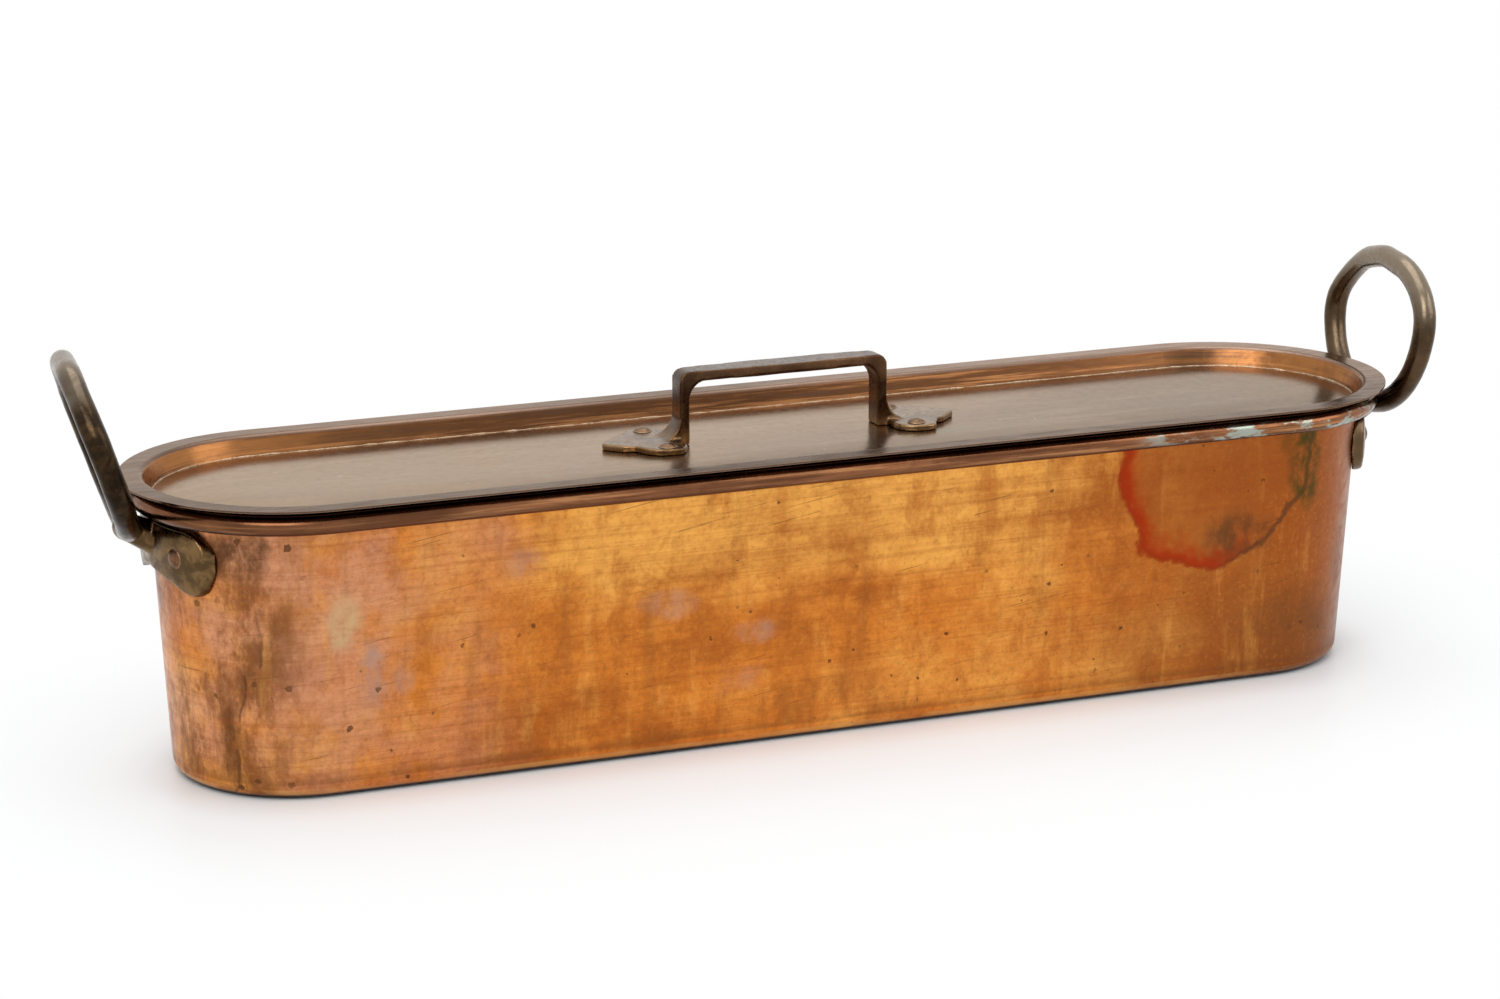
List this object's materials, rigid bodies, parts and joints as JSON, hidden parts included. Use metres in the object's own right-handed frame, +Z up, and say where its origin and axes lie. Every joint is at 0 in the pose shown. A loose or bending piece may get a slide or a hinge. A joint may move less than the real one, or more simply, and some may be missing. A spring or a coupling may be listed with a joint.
{
  "type": "fish kettle",
  "caption": "Long obround copper fish kettle with a wired rim, cast loop handles, a drop-in tray lid with a strap handle, and a lift-out perforated drainer.",
  "frame": {"origin": "middle of the pan's flat underside", "axes": "+X along the pan's length, +Y to the back, +Z up; the front is -Y"},
  "size_m": [0.682, 0.1562, 0.201],
  "materials": {
    "copper": "polished copper, worn",
    "base_copper": "scuffed copper",
    "iron": "plain",
    "bronze": "aged cast bronze",
    "rivet": "copper",
    "lid_copper": "dull copper",
    "panel_copper": "dull copper",
    "dark_bronze": "dark cast bronze",
    "tinned": "tinned copper, dull"
  },
  "bodies": {
    "kettle": {"side_wall": "copper", "base_plate": "base_copper", "rim_wire": "iron", "left_handle": "bronze", "right_handle": "bronze", "left_handle_rivets": "rivet", "right_handle_rivets": "rivet"},
    "drainer": {"drainer_plate": "tinned", "drainer_left_handle": "tinned", "drainer_right_handle": "tinned", "drainer_rivets": "rivet"},
    "lid": {"lid_rim": "lid_copper", "lid_panel": "panel_copper", "lid_handle": "dark_bronze", "lid_handle_rivets": "rivet"}
  },
  "joints": [
    {"name": "drainer_lift", "type": "slide", "parent": "kettle", "child": "drainer", "axis": [0, 0, 1], "range_m": [0, 0.22]},
    {"name": "lid_lift", "type": "slide", "parent": "drainer", "child": "lid", "axis": [0, 0, 1], "range_m": [0, 0.1]}
  ]
}
